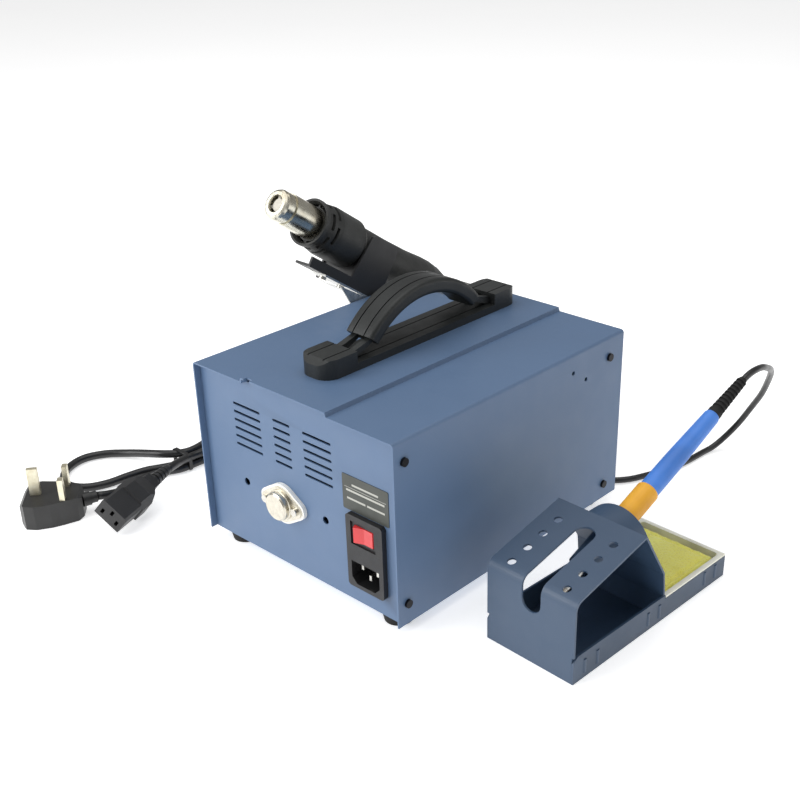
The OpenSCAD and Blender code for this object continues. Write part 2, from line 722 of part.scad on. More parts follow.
// The stand's bent plate, as the path of its outer face from the front foot to the back
front_bend = [stand_y[1] - 8, 53.6];
bend_top_angle = 76.8;
plate_path = concat([[stand_y[1], 0]],
    [for (i = [0:8]) front_bend + 8 * [cos(bend_top_angle * i / 8), sin(bend_top_angle * i / 8)]],
    [plate_top, [-9.4, 38], [-11.8, 18.6], [-11.8, stand_t]]);
function side_of(a, b) = let (d = unit(b - a)) [-d[1], d[0]];
function mitre(p, i) = let (n0 = side_of(p[max(i - 1, 0)], p[max(i, 1)]),
    last = len(p) - 1, n1 = side_of(p[min(i, last - 1)], p[min(i + 1, last)]))
    (n0 + n1) / (1 + n0 * n1);
plate_inner = [for (i = [len(plate_path) - 1:-1:0]) plate_path[i] + stand_t * mitre(plate_path, i)];

module stand_body() color("slategray") at_stand() difference() {
    sideways(-stand_w / 2, stand_w) polygon(concat(plate_path, plate_inner));
    for (s = [-1, 1])
        translate([s > 0 ? stand_w / 2 - stand_t - 0.1 : -stand_w / 2 - cut, stand_y[0], -cut])
            cube([stand_t + 0.1 + cut, stand_l + 10, flange_h + 0.2 + cut]);
    for (s = [-1, 1], y = [29.5, 45.5, 61.5, 77.5])
        translate([s * 22.5, y, 66]) rotate([-13.2, 0, 0]) cylinder(r = 3, h = 30, center = true);
    translate([-0.75, 33.75, 50]) cylinder(r = 7.75, h = 40);
    translate([-8.5, 33.75, 56]) cube([15.5, 60, 30]);
    rod_y(-0.75, 45.75, 70, 100, 7.75);
    translate([-8.5, 70, 45.75]) cube([15.5, 30, 15]);
    translate(iron_pivot) rotate([90 - iron_angle, 0, 0]) translate([0, 0, -60])
        cylinder(r = guide_r + 0.05, h = 50);
}

module base_flange(x) {
    sideways(x, stand_t) polygon([[stand_y[0], 0], [stand_y[1], 0], [stand_y[1], flange_h - 4],
        [stand_y[1] - 4, flange_h], [tray_y, flange_h - 1], [tray_y, tray_flange_h],
        [stand_y[0], tray_flange_h]]);
}

module stand_base() color("slategray") at_stand() {
    w = stand_w / 2;
    front = stand_y[1] - stand_t - 0.05;
    translate([-w, stand_y[0], 0]) cube([stand_w, front - stand_y[0], stand_t]);
    base_flange(-w);
    base_flange(w - stand_t);
    translate([-w, stand_y[0], 0]) cube([stand_w, stand_t, tray_flange_h]);
    for (y = [73, 60, 6, -6.5, -60, -73], s = [-1, 1]) intersection() {
        translate([s * (w - 1.5), y, 4]) cylinder(r = 2.2, h = 10);
        translate([s > 0 ? w - 0.5 : -w - 3.5, y - 3, 3]) cube([4, 6, 12]);
    }
}

// A hood round the iron's hole, and the guide tube that holds the iron
module stand_collar() color("slategray") at_stand() {
    difference() {
        rod_y(0, collar_z, -5, 20, collar_r);
        rod_y(0, collar_z, -6, 21, collar_r - stand_t);
        sideways(-40, 80) polygon([[-9.4 - 4 * 0.608, 34], [plate_top[0] + 4 * 0.608, 80.5],
            [60, 80.5], [60, 0], [-9.4 - 21 * 0.608, 17]]);
    }
    translate(iron_pivot) rotate([90 - iron_angle, 0, 0]) translate([0, 0, -76])
        difference() {
            cylinder(r = guide_r, h = 40);
            translate([0, 0, -cut]) cylinder(r = guide_r - 1.2, h = 42);
        }
}

module sponge_tray() color("beige") at_stand() {
    w = stand_w / 2;
    inner = w - stand_t - tray_gap;
    y0 = stand_y[0] + stand_t + tray_gap;
    y1 = tray_y - tray_gap - 0.3;
    mid = (y0 + y1) / 2;
    difference() {
        union() {
            translate([-inner, y0, stand_t + tray_gap])
                cube([2 * inner, y1 - y0, tray_flange_h - stand_t]);
            translate([0, mid, tray_flange_h + tray_gap]) linear_extrude(1.2)
                translate([0, (stand_y[0] - y0) / 2]) square([stand_w, y1 - stand_y[0]],
                    center = true);
        }
        translate([0, mid, 3.4]) linear_extrude(20)
            rounded_rect([2 * inner - 3.2, y1 - y0 - 3.2], 3);
    }
}

module sponge() color("yellow") at_stand() {
    y0 = stand_y[0] + stand_t + tray_gap;
    y1 = tray_y - tray_gap - 0.3;
    translate([0, (y0 + y1) / 2, 3.8]) linear_extrude(13)
        rounded_rect([2 * (stand_w / 2 - stand_t - tray_gap) - 4.4, y1 - y0 - 4.4], 3);
}

// ---- soldering iron, Z out of the stand along its axis ----

module iron_tip() color("darkorange") at_iron()
    rotate_extrude() polygon([[0, -113], [0.8, -112.5], [3.1, -100], [3.1, -95], [0, -95]]);

module iron_barrel() color("silver") at_iron() {
    translate([0, 0, -95]) cylinder(r = 3.3, h = 87);
    translate([0, 0, -68]) cylinder(r = 5.6, h = 8);
}

module iron_sleeve() color("orange") at_iron() difference() {
    rotate_extrude() polygon([[0, -60], [sleeve_r - 1.2, -60], [sleeve_r, -58], [sleeve_r, -1],
        [sleeve_r - 0.6, 0], [0, 0]]);
    translate([0, 0, -61]) cylinder(r = 3.4, h = 53.5);
}

module iron_handle() color("royalblue") at_iron()
    rotate_extrude() polygon([[0, 0], [7.3, 0], [7.2, 30], [6.4, 60], [5.9, 77.5], [5.3, 79],
        [0, 79]]);

module iron_boot() color("black") at_iron() {
    ribs = 10;
    pitch = 3.6;
    rotate_extrude() polygon(concat([[0, 79], [5.2, 79], [5.2, 83]],
        [for (i = [0:ribs - 1], e = [[0, 0], [0, 1.4], [-0.9, 1.6], [-0.9, pitch]])
            [5 - 1.3 * i / ribs + e[0], 83 + i * pitch + e[1]]], [[0, 83 + ribs * pitch]]));
}

module iron_cord_rise() color("black") cord_tube(rise_route, iron_r, [0.9, 0.1, 0.45]);

module iron_cord_floor() color("black") cord_tube(floor_route, iron_r);

module iron_coil() color("black") translate([coil_at[0], coil_at[1], 0])
    rotate_extrude() translate([coil_turn_r[0] - iron_r, 0])
        square([coil_turn_r[1] - coil_turn_r[0] + iron_cord_d, 2 * iron_cord_d]);

module iron_cord_end() color("black") cord_tube(end_route, iron_r);

module iron_plug() color("black") translate([socket_at[0], fascia_y, socket_at[1]])
    rotate([90, 0, 0]) rotate_extrude() polygon([[0, -6], [6, -6], [6, 3], [9.5, 3], [9.5, 16],
        [7, 18], [5, 20], [3.8, 33.5], [0, 33.5]]);

// ---- mains lead ----

module at_c13() translate([157.6, 170.9, 16.8]) rotate([0, 0, -69]) rotate([40, 0, 0]) children();

module c13_connector() color("black") at_c13() {
    difference() {
        intersection() {
            linear_extrude(30, center = true) polygon([[0, 12], [22, 12], [23, 13.5], [35, 13.5],
                [48, 6], [55, 6], [55, -6], [48, -6], [35, -13.5], [23, -13.5], [22, -12],
                [0, -12]]);
            rotate([90, 0, 0]) linear_extrude(30, center = true) polygon([[0, 8], [22, 8],
                [23, 9.7], [35, 9.7], [48, 6], [55, 6], [55, -6], [48, -6], [35, -9.7],
                [23, -9.7], [22, -8], [0, -8]]);
            rotate([90, 0, 90]) linear_extrude(56) polygon([[-14, -10], [14, -10], [14, 4],
                [8, 10], [-8, 10], [-14, 4]]);
        }
        for (p = [[-7, -1.6], [7, -1.6], [0, 3.2]])
            translate([-cut, p[0] - 1.3, p[1] - 2.4]) cube([15, 2.6, 4.8]);
    }
    for (i = [0:4]) translate([55 + 4.6 * i, 0, 0]) rotate([0, 90, 0]) {
        cylinder(r = 5.6 - 0.35 * i, h = 3);
        translate([0, 0, 2.9]) cylinder(r = 4.4 - 0.2 * i, h = 1.8);
    }
}

module at_plug() translate([202, 166, 0]) rotate([0, 0, 49.5]) children();

module mains_plug() at_plug() {
    color("black") intersection() {
        linear_extrude(20) polygon([[0, 6], [3, 11], [14, 16], [22, 19], [34, 21], [42, 19],
            [46, 12], [46, -12], [42, -19], [34, -21], [22, -19], [14, -16], [3, -11], [0, -6]]);
        sideways_profile = [[0, 1], [4, 0], [44, 0], [46, 2], [46, 17], [43, 20], [3, 20],
            [0, 17]];
        translate([0, 30, 0]) rotate([90, 0, 0]) linear_extrude(60) polygon(sideways_profile);
    }
    color("gold") for (p = [[13, 11.1], [13, -11.1]])
        translate([p[0] - 2, p[1] - 3.15, 19.5]) cube([4, 6.3, 18.2]);
    color("gold") translate([35.2 - 4, -2, 19.5]) cube([8, 4, 23.2]);
    color("black") translate([1, 0, 12]) rotate([0, -90, 24]) {
        cylinder(r = 5.6, h = 6);
        translate([0, 0, 5.9]) cylinder(r = 4.6, h = 5.2);
    }
}

module lead_runs() color("black") {
    cord_tube(plug_run_route, lead_r);
    cord_tube(loop_route, lead_r);
    cord_tube(c13_run_route, lead_r);
}

// Two folded strands side by side and two on top, spread into a long ring
module lead_hank() color("black") {
    r = (hank_x[1] - hank_x[0]) / 2;
    mid = (hank_x[0] + hank_x[1]) / 2;
    fold_y = hank_y[0] + r;
    translate([mid, fold_y, 0]) rotate([0, 0, 180]) rotate_extrude(angle = 180)
        translate([r - lead_d, 0]) square([lead_d, hank_h]);
    linear_extrude(hank_h) difference() {
        polygon([[hank_x[0], fold_y], [hank_x[0], hank_y[1]], [neck_x[0], neck_y[0]],
            [neck_x[0], neck_y[1]], [neck_x[1], neck_y[1]], [neck_x[1], neck_y[0]],
            [hank_x[1], hank_y[1]], [hank_x[1], fold_y]]);
        polygon([[hank_x[0] + lead_d, fold_y - cut], [hank_x[0] + lead_d, hank_y[1] - 2],
            [(neck_x[0] + neck_x[1]) / 2, neck_y[0] - 4],
            [hank_x[1] - lead_d, hank_y[1] - 2], [hank_x[1] - lead_d, fold_y - cut]]);
    }
}

module lead_tie() color("black") {
    w = neck_x[1] - neck_x[0] + 2.6;
    h = hank_h + 1.3;
    translate([(neck_x[0] + neck_x[1]) / 2, neck_y[1] - 4, h / 2]) rotate([90, 0, 0])
        linear_extrude(3, center = true) difference() {
            rounded_rect([w, h], 3);
            translate([0, -0.6]) square([w - 2.4, h - 1.1], center = true);
        }
}

// ---- what is drawn ----

chassis();
cover();
fascia();
case_screws();
feet();
handle_base();
handle_strap();
handle_grip();
inlet_module();
inlet_pins();
power_rocker();
rating_label();
to3_insulator();
to3_package();
to3_screws();
transformer();
pump_body();
main_board();
air_tube();
control_board();
display_windows();
switch_housings();
switch_air();
switch_iron();
knob_air_temp();
knob_air_flow();
knob_iron_temp();
iron_socket();
hose_gland();
holder_bracket();
holder_cradle();
holder_screws();
gun_shell_left();
gun_shell_right();
gun_guard();
heater_tube();
nozzle_cap();
heater_core();
gun_screws();
gun_tail();
stand_body();
stand_base();
stand_collar();
sponge_tray();
sponge();
iron_tip();
iron_barrel();
iron_sleeve();
iron_handle();
iron_boot();
iron_cord_rise();
iron_cord_floor();
iron_coil();
iron_cord_end();
iron_plug();
c13_connector();
mains_plug();
lead_runs();
lead_hank();
lead_tie();
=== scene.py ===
"""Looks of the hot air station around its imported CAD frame. Metres, in the frame's own axes."""

import json
import math

import bpy
from mathutils import Matrix, Vector


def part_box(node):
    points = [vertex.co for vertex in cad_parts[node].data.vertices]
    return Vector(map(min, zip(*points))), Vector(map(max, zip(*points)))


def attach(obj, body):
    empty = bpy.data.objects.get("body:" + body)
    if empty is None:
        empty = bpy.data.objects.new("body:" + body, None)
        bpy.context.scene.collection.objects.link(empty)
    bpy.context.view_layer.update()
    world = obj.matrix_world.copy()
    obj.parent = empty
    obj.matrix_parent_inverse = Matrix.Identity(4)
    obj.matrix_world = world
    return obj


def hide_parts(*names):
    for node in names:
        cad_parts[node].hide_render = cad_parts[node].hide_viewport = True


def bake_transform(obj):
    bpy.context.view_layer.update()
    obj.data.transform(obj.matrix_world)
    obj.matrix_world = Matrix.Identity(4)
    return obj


MM = 0.001


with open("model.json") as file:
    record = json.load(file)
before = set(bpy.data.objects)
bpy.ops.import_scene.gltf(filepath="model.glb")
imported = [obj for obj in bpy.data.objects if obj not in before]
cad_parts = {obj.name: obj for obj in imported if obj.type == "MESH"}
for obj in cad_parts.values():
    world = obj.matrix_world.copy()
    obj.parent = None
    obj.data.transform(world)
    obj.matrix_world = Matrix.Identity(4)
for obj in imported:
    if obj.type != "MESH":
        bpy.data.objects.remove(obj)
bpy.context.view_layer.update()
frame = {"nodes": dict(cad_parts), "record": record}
NODES = frame["nodes"]
scene = bpy.context.scene


# ---- camera, at the photograph's angle ----

CAMERA_AT = (-0.55223, 0.57326, 0.47633)
CAMERA_TURNS = (222.618, 26.727, -0.879)


def make_camera():
    azimuth, elevation, roll = (math.radians(a) for a in CAMERA_TURNS)
    back = Vector((math.sin(azimuth) * math.cos(elevation),
                   -math.cos(azimuth) * math.cos(elevation), math.sin(elevation)))
    level = Vector((-back.y, back.x, 0)).normalized()
    right = math.cos(roll) * level + math.sin(roll) * back.cross(level)
    up = back.cross(right)
    data = bpy.data.cameras.new("view")
    data.sensor_width = 36
    data.lens = 53.67
    data.shift_x = -0.05
    data.shift_y = 0.0375
    data.clip_start = 0.02
    data.clip_end = 60
    camera = bpy.data.objects.new("view", data)
    scene.collection.objects.link(camera)
    axes = Matrix((right, up, back)).transposed()
    camera.matrix_world = Matrix.Translation(CAMERA_AT) @ axes.to_4x4()
    scene.camera = camera


make_camera()


# ---- shared mesh code ----

SPLINE_PARTS = 16
CORD_STEP = 0.004


def spline(points):
    """A smooth line through the points, in even steps."""
    p = [Vector(q) for q in points]
    dense = []
    for i in range(len(p) - 1):
        a, b, c, d = p[max(i - 1, 0)], p[i], p[i + 1], p[min(i + 2, len(p) - 1)]
        for k in range(SPLINE_PARTS):
            t = k / SPLINE_PARTS
            dense.append(0.5 * (2 * b + (c - a) * t + (2 * a - 5 * b + 4 * c - d) * t * t
                                + (3 * b - a - 3 * c + d) * t ** 3))
    dense.append(p[-1])
    lengths = [0.0]
    for a, b in zip(dense, dense[1:]):
        lengths.append(lengths[-1] + (b - a).length)
    count = max(2, round(lengths[-1] / CORD_STEP))
    out, k = [], 0
    for i in range(count + 1):
        want = lengths[-1] * i / count
        while k < len(dense) - 2 and lengths[k + 1] < want:
            k += 1
        share = (want - lengths[k]) / max(lengths[k + 1] - lengths[k], 1e-9)
        out.append(dense[k].lerp(dense[k + 1], min(max(share, 0), 1)))
    return out


def new_object(name, verts, faces, smooth=True):
    mesh = bpy.data.meshes.new(name)
    mesh.from_pydata([tuple(v) for v in verts], [], faces)
    mesh.validate()
    mesh.update()
    for face in mesh.polygons:
        face.use_smooth = smooth
    o = bpy.data.objects.new(name, mesh)
    scene.collection.objects.link(o)
    return o


def tube(name, path, radius, sides=16):
    """A round tube along path, its rings turned as little as they can be."""
    verts, faces = [], []
    normal = None
    for i, q in enumerate(path):
        t = (path[min(i + 1, len(path) - 1)] - path[max(i - 1, 0)]).normalized()
        if normal is None:
            normal = t.orthogonal().normalized()
        normal = (normal - t * normal.dot(t)).normalized()
        side = t.cross(normal)
        for k in range(sides):
            a = 2 * math.pi * k / sides
            verts.append(q + radius * (math.cos(a) * normal + math.sin(a) * side))
    for i in range(len(path) - 1):
        for k in range(sides):
            n = (k + 1) % sides
            faces.append((i * sides + k, i * sides + n, (i + 1) * sides + n, (i + 1) * sides + k))
    faces.append(tuple(range(sides - 1, -1, -1)))
    faces.append(tuple((len(path) - 1) * sides + k for k in range(sides)))
    return new_object(name, verts, faces)


def metres(points):
    return [(x * MM, y * MM, z * MM) for x, y, z in points]


# ---- the iron's cord, in millimetres: the CAD's own route, with turns inside its coil ----

IRON_R = 2.5
IRON_RISE = [(-185, -145, 119.4), (-185.5, -155, 122.5), (-185.5, -165, 122.8),
             (-184, -178, 120), (-181, -192, 114), (-175, -210, 105), (-167, -228, 93),
             (-158, -243, 78), (-148, -255, 60), (-137, -262, 42), (-127, -262, 24),
             (-119, -254, 10.5), (-114.5, -244, 4)]
IRON_FLOOR = [(-112, -233, 2.5), (-110, -208, 2.5), (-106, -188, 2.5), (-99, -170, 2.5),
              (-91, -153, 2.5), (-79, -141, 2.5), (-64, -137, 2.5), (-48, -139, 2.5),
              (-32, -146, 2.5), (-20, -152, 2.5)]
IRON_END = [(-24, -211.5, 8.5), (-36, -203, 12), (-46, -191, 18), (-54, -177, 25),
            (-58, -162, 30), (-60, -152, 32), (-60, -144, 32)]
COIL_AT = (-8, -185)
COIL_STEPS = 24
COIL_OUTER, COIL_INNER, COIL_PITCH = 31, 20.8, 5.1
COIL_LOW, COIL_HIGH = 2.5, 7.7
LOW_TURNS, CLIMB_TURNS, ALL_TURNS = 2, 0.25, 3.5


def coil_points():
    """Clockwise from the top: two turns inwards on the floor, then one and a half outwards."""
    out = []
    for i in range(round(ALL_TURNS * COIL_STEPS)):
        turn = i / COIL_STEPS
        angle = math.radians(90 - 360 * turn)
        climbed = (turn - LOW_TURNS) / CLIMB_TURNS
        if climbed < 0:
            r, z = COIL_OUTER - COIL_PITCH * turn, COIL_LOW
        elif climbed < 1:
            r, z = COIL_INNER, COIL_LOW + (COIL_HIGH - COIL_LOW) * climbed
        else:
            r, z = COIL_INNER + COIL_PITCH * (turn - LOW_TURNS - CLIMB_TURNS), COIL_HIGH
        out.append((COIL_AT[0] + r * math.cos(angle), COIL_AT[1] + r * math.sin(angle), z))
    return out


iron_path = spline(metres(IRON_RISE + IRON_FLOOR + coil_points() + IRON_END))
iron_cord = tube("iron_cord", iron_path, IRON_R * MM)
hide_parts("iron_cord_rise", "iron_cord_floor", "iron_coil", "iron_cord_end")
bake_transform(iron_cord)

# ---- the mains lead, in millimetres: plug, hank's floor layer, loop, hank's top layer, connector ----

LEAD_R = 3.4
LEAD_2 = 10.5
HANK_X = (179.4, 221.6)
NECK_X = (198.6, 207.6)
FOLD_Y = -95.5
FOLD_STEP, FOLD_STEPS = 15, 12
# how far a strand has spread from the neck to the hank's side, at each y
SPREAD = ((56, 0.02), (46, 0.12), (34, 0.38), (20, 0.72), (8, 0.93), (-6, 1.0))
STRAIGHT_Y = (-35, -65, -85)


def fold(z, from_right):
    """Half a turn round the hank's far end."""
    mid, r = (HANK_X[0] + HANK_X[1]) / 2, (HANK_X[1] - HANK_X[0]) / 2
    start, step = (0, -FOLD_STEP) if from_right else (180, FOLD_STEP)
    angles = [math.radians(start + step * k) for k in range(FOLD_STEPS + 1)]
    return [(mid + r * math.cos(a), FOLD_Y + r * math.sin(a), z) for a in angles]


def strand(side, z):
    """One side of the hank from its neck down to its fold."""
    x, neck = HANK_X[side], NECK_X[side]
    spreading = [(neck + (x - neck) * share, y, z) for y, share in SPREAD]
    return spreading + [(x, y, z) for y in STRAIGHT_Y]


PLUG_RUN = [(199.5, 156, 12), (198, 147, 10), (199, 137, 7.5), (203, 127, 5), (207, 117, 3.8),
            (209, 107, 3.4), (208, 97, 3.4), (205, 87, 3.4), (201, 79, 3.4), (199.2, 74, 3.4),
            (198.7, 66, 3.4)]
LOOP = [(207.2, 65, 3.4), (208, 74, 3.4), (210, 80, 3.4), (214, 88, 3.4), (219, 98, 3.4),
        (222, 113, 3.4), (224, 130, 3.4), (231, 145, 3.4), (244, 153, 3.4), (259, 150, 3.4),
        (272, 137, 3.4), (277, 119, 3.4), (270, 102, 3.4), (255, 90, 4.5), (241, 85, 7.2),
        (228, 81.5, 9.9), (219, 77, 10.9), (212.6, 70.5, 10.8), (208.8, 63, 10.6)]
C13_RUN = [(185.2, 99, 16.7), (189.5, 87.5, 15.8), (194.5, 77.5, 13.4), (197.8, 68, 11.2),
           (198.8, 62, LEAD_2)]
lead_points = (C13_RUN + strand(0, LEAD_2) + fold(LEAD_2, False) + strand(1, LEAD_2)[::-1]
               + LOOP[::-1] + strand(1, LEAD_R) + fold(LEAD_R, True) + strand(0, LEAD_R)[::-1]
               + PLUG_RUN[::-1])
lead_path = spline(metres(lead_points))
mains_lead = tube("mains_lead", lead_path, LEAD_R * MM)
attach(mains_lead, "station")
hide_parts("lead_runs", "lead_hank")


# ---- materials ----


class Paint:
    """A small builder of node materials in object coordinates."""

    def __init__(self, name):
        self.material = bpy.data.materials.new(name)
        self.material.use_nodes = True
        self.tree = self.material.node_tree
        self.shader = self.tree.nodes["Principled BSDF"]
        self.coords = self.tree.nodes.new("ShaderNodeTexCoord").outputs["Object"]
        self.normal = None

    def add(self, kind, **values):
        node = self.tree.nodes.new(kind)
        for key, value in values.items():
            if hasattr(node, key):
                setattr(node, key, value)
            else:
                node.inputs[key.replace("_", " ")].default_value = value
        return node

    def link(self, a, b):
        self.tree.links.new(a, b)

    def stretched(self, scale):
        node = self.add("ShaderNodeMapping")
        node.inputs["Scale"].default_value = scale
        self.link(self.coords, node.inputs["Vector"])
        return node.outputs[0]

    def noise(self, scale, detail=2.0, roughness=0.5, stretch=None):
        node = self.add("ShaderNodeTexNoise", Scale=scale, Detail=detail, Roughness=roughness)
        self.link(self.stretched(stretch) if stretch else self.coords, node.inputs["Vector"])
        return node.outputs["Fac"]

    def cells(self, scale, feature="F1"):
        node = self.add("ShaderNodeTexVoronoi", feature=feature, Scale=scale)
        self.link(self.coords, node.inputs["Vector"])
        return node.outputs["Distance"]

    def ramp(self, value, low, high, a, b):
        node = self.add("ShaderNodeMapRange")
        for key, number in (("From Min", low), ("From Max", high), ("To Min", a), ("To Max", b)):
            node.inputs[key].default_value = number
        self.link(value, node.inputs["Value"])
        return node.outputs[0]

    def mix(self, value, a, b):
        node = self.add("ShaderNodeMix", data_type="RGBA")
        for socket, colour in ((node.inputs[6], a), (node.inputs[7], b)):
            if isinstance(colour, tuple):
                socket.default_value = (*colour, 1)
            else:
                self.link(colour, socket)
        self.link(value, node.inputs[0])
        return node.outputs[2]

    def math(self, operation, a, b=0.0):
        node = self.add("ShaderNodeMath", operation=operation)
        for socket, value in zip(node.inputs, (a, b)):
            if isinstance(value, (int, float)):
                socket.default_value = value
            else:
                self.link(value, socket)
        return node.outputs[0]

    def axis(self, name):
        node = self.add("ShaderNodeSeparateXYZ")
        self.link(self.coords, node.inputs[0])
        return node.outputs[name]

    def colour(self, value):
        if isinstance(value, tuple):
            self.shader.inputs["Base Color"].default_value = (*value, 1)
        else:
            self.link(value, self.shader.inputs["Base Color"])

    def rough(self, value):
        if isinstance(value, float):
            self.shader.inputs["Roughness"].default_value = value
        else:
            self.link(value, self.shader.inputs["Roughness"])

    def bump(self, height, strength, distance):
        node = self.add("ShaderNodeBump", Strength=strength, Distance=distance)
        self.link(height, node.inputs["Height"])
        if self.normal:
            self.link(self.normal, node.inputs["Normal"])
        self.normal = node.outputs[0]
        self.link(self.normal, self.shader.inputs["Normal"])

    def set(self, **values):
        for key, value in values.items():
            self.shader.inputs[key.replace("_", " ")].default_value = value

    def edges(self):
        node = self.add("ShaderNodeNewGeometry")
        return node.outputs["Pointiness"]


def shade(colour, k):
    """The colour made darker or lighter by the factor k."""
    return tuple(min(c * k, 1.0) for c in colour)


def powder_coat(name, colour):
    """Satin powder coat: fine orange peel, faint dust and lighter worn edges."""
    m = Paint(name)
    body = m.mix(m.ramp(m.noise(9, 4), 0.3, 0.7, 0, 1), shade(colour, 0.94), shade(colour, 1.07))
    dust = m.ramp(m.noise(2600, 1), 0.62, 0.74, 0, 0.35)
    body = m.mix(dust, body, shade(colour, 1.45))
    worn = m.ramp(m.edges(), 0.535, 0.60, 0, 0.5)
    m.colour(m.mix(worn, body, shade(colour, 1.9)))
    m.rough(m.ramp(m.noise(60, 3), 0.3, 0.7, 0.40, 0.50))
    m.bump(m.noise(1500, 2), 0.22, 0.00012)
    m.bump(m.noise(260, 1), 0.10, 0.0003)
    m.set(Specular_IOR_Level=0.6)
    return m.material


def moulded(name, colour, rough=0.5, grain=900, depth=0.00012, strength=0.35, specular=0.45):
    """Moulded plastic or rubber with a spark-eroded grain and handling marks."""
    m = Paint(name)
    body = m.mix(m.ramp(m.noise(35, 4), 0.3, 0.7, 0, 1), shade(colour, 0.85), shade(colour, 1.18))
    worn = m.ramp(m.edges(), 0.54, 0.62, 0, 0.45)
    m.colour(m.mix(worn, body, tuple(c * 1.6 + 0.012 for c in colour)))
    m.rough(m.ramp(m.noise(90, 4), 0.3, 0.7, rough - 0.06, rough + 0.08))
    m.bump(m.cells(grain), strength, depth)
    m.bump(m.noise(grain * 2.2, 2), strength * 0.6, depth * 0.6)
    m.set(Specular_IOR_Level=specular)
    return m.material


def brushed(name, colour, rough=0.3, stretch=(1, 1, 14), scale=320, tint=None):
    """Turned or brushed metal with fine lines, and a darker tint where it has been hot."""
    m = Paint(name)
    lines = m.noise(scale, 3, 0.6, stretch)
    body = m.mix(m.ramp(lines, 0.25, 0.75, 0, 1), shade(colour, 0.8), shade(colour, 1.12))
    if tint:
        body = m.mix(m.ramp(m.noise(45, 3), 0.42, 0.68, 0, 0.55), body, tint)
    m.colour(body)
    m.rough(m.ramp(m.noise(scale * 0.5, 3, 0.6, stretch), 0.3, 0.7, rough - 0.08, rough + 0.10))
    m.bump(lines, 0.15, 0.00008)
    m.set(Metallic=1.0)
    return m.material


def cord_rubber(name, colour):
    """Smooth extruded cord jacket: soft gloss with faint drag lines and scuffs."""
    m = Paint(name)
    body = m.mix(m.ramp(m.noise(70, 4), 0.35, 0.7, 0, 1), shade(colour, 0.8), shade(colour, 1.35))
    scuff = m.ramp(m.noise(420, 3), 0.66, 0.78, 0, 0.3)
    m.colour(m.mix(scuff, body, shade(colour, 2.4)))
    m.rough(m.ramp(m.noise(120, 3), 0.3, 0.7, 0.26, 0.40))
    m.bump(m.noise(1100, 2), 0.15, 0.00008)
    m.set(Specular_IOR_Level=0.55)
    return m.material


def gloss(name, colour, rough=0.15, painted_glow=0.0):
    """Clear-coated plastic, which can be given a faint painted glow in its own colour, as the red
    rocker is.
    """
    m = Paint(name)
    m.colour(m.mix(m.ramp(m.noise(50, 3), 0.3, 0.7, 0, 1), shade(colour, 0.85), shade(colour, 1.1)))
    m.rough(m.ramp(m.noise(160, 3), 0.3, 0.7, rough * 0.7, rough * 1.4))
    m.bump(m.noise(500, 1), 0.05, 0.00005)
    m.set(Coat_Weight=0.5, Coat_Roughness=0.08)
    # painted glow: a faint emission in the part's own colour that keeps it bright, not a lamp
    if painted_glow:
        m.set(Emission_Color=(*colour, 1), Emission_Strength=painted_glow)
    return m.material


def sponge_material():
    """Open-cell sponge: two sizes of pore, with painted shade darkening the inside of them."""
    m = Paint("sponge_cells")
    pores = m.cells(620)
    fine = m.cells(1500)
    light, dark = (0.93, 0.90, 0.22), (0.62, 0.52, 0.045)
    body = m.mix(m.ramp(m.noise(40, 4), 0.3, 0.7, 0, 1), light, (0.86, 0.80, 0.14))
    # painted shade: the yellow darkens towards the middle of each large pore, for the shade inside it
    m.colour(m.mix(m.ramp(pores, 0.0, 0.34, 0.75, 0), body, dark))
    m.rough(0.9)
    m.bump(pores, 0.8, 0.0006)
    m.bump(fine, 0.5, 0.0003)
    m.set(Sheen_Weight=0.4, Sheen_Roughness=0.5, Subsurface_Weight=0.08)
    m.shader.inputs["Subsurface Radius"].default_value = (0.004, 0.003, 0.001)
    m.shader.inputs["Subsurface Scale"].default_value = 1.0
    return m.material


# height, middle in X and half width of each pale rule on the rating plate
LABEL_ROWS = ((0.0992, -0.067, 0.012), (0.0945, -0.067, 0.0175),
              (0.0885, -0.0765, 0.008), (0.0885, -0.0585, 0.0085))
ROW_HALF = 0.0007


def label_material():
    """A dark rating plate. Thin pale rules stand for its rows, with no lettering."""
    m = Paint("label_print")
    x, z = m.axis("X"), m.axis("Z")

    def band(value, middle, half):
        return m.math("LESS_THAN", m.math("ABSOLUTE", m.math("SUBTRACT", value, middle)), half)

    mark = None
    for height, centre, half in LABEL_ROWS:
        bar = m.math("MULTIPLY", band(z, height, ROW_HALF), band(x, centre, half))
        mark = bar if mark is None else m.math("MAXIMUM", mark, bar)
    rule = m.math("MULTIPLY", band(z, 0.0966, 0.00015), band(x, -0.067, 0.019))
    mark = m.math("MAXIMUM", mark, rule)
    dark = m.mix(m.noise(80, 3), (0.045, 0.05, 0.042), (0.065, 0.07, 0.06))
    m.colour(m.mix(m.math("MULTIPLY", mark, 0.75), dark, (0.62, 0.62, 0.56)))
    m.rough(m.ramp(m.noise(200, 2), 0.3, 0.7, 0.38, 0.5))
    m.bump(m.noise(900, 2), 0.1, 0.00005)
    return m.material


PLUG_FACE_Z = 0.0201


def plug_material():
    """Black moulding with plated pins standing out of its face."""
    m = Paint("plug_and_pins")
    is_pin = m.math("GREATER_THAN", m.axis("Z"), PLUG_FACE_Z)
    body = m.mix(m.ramp(m.noise(40, 4), 0.3, 0.7, 0, 1), (0.018, 0.018, 0.018), (0.03, 0.03, 0.03))
    pin = m.mix(m.ramp(m.noise(220, 3), 0.3, 0.7, 0, 1), (0.72, 0.66, 0.48), (0.86, 0.82, 0.66))
    m.colour(m.mix(is_pin, body, pin))
    m.link(is_pin, m.shader.inputs["Metallic"])
    m.rough(m.ramp(m.noise(90, 3), 0.3, 0.7, 0.34, 0.48))
    m.bump(m.cells(1100), 0.2, 0.00006)
    return m.material


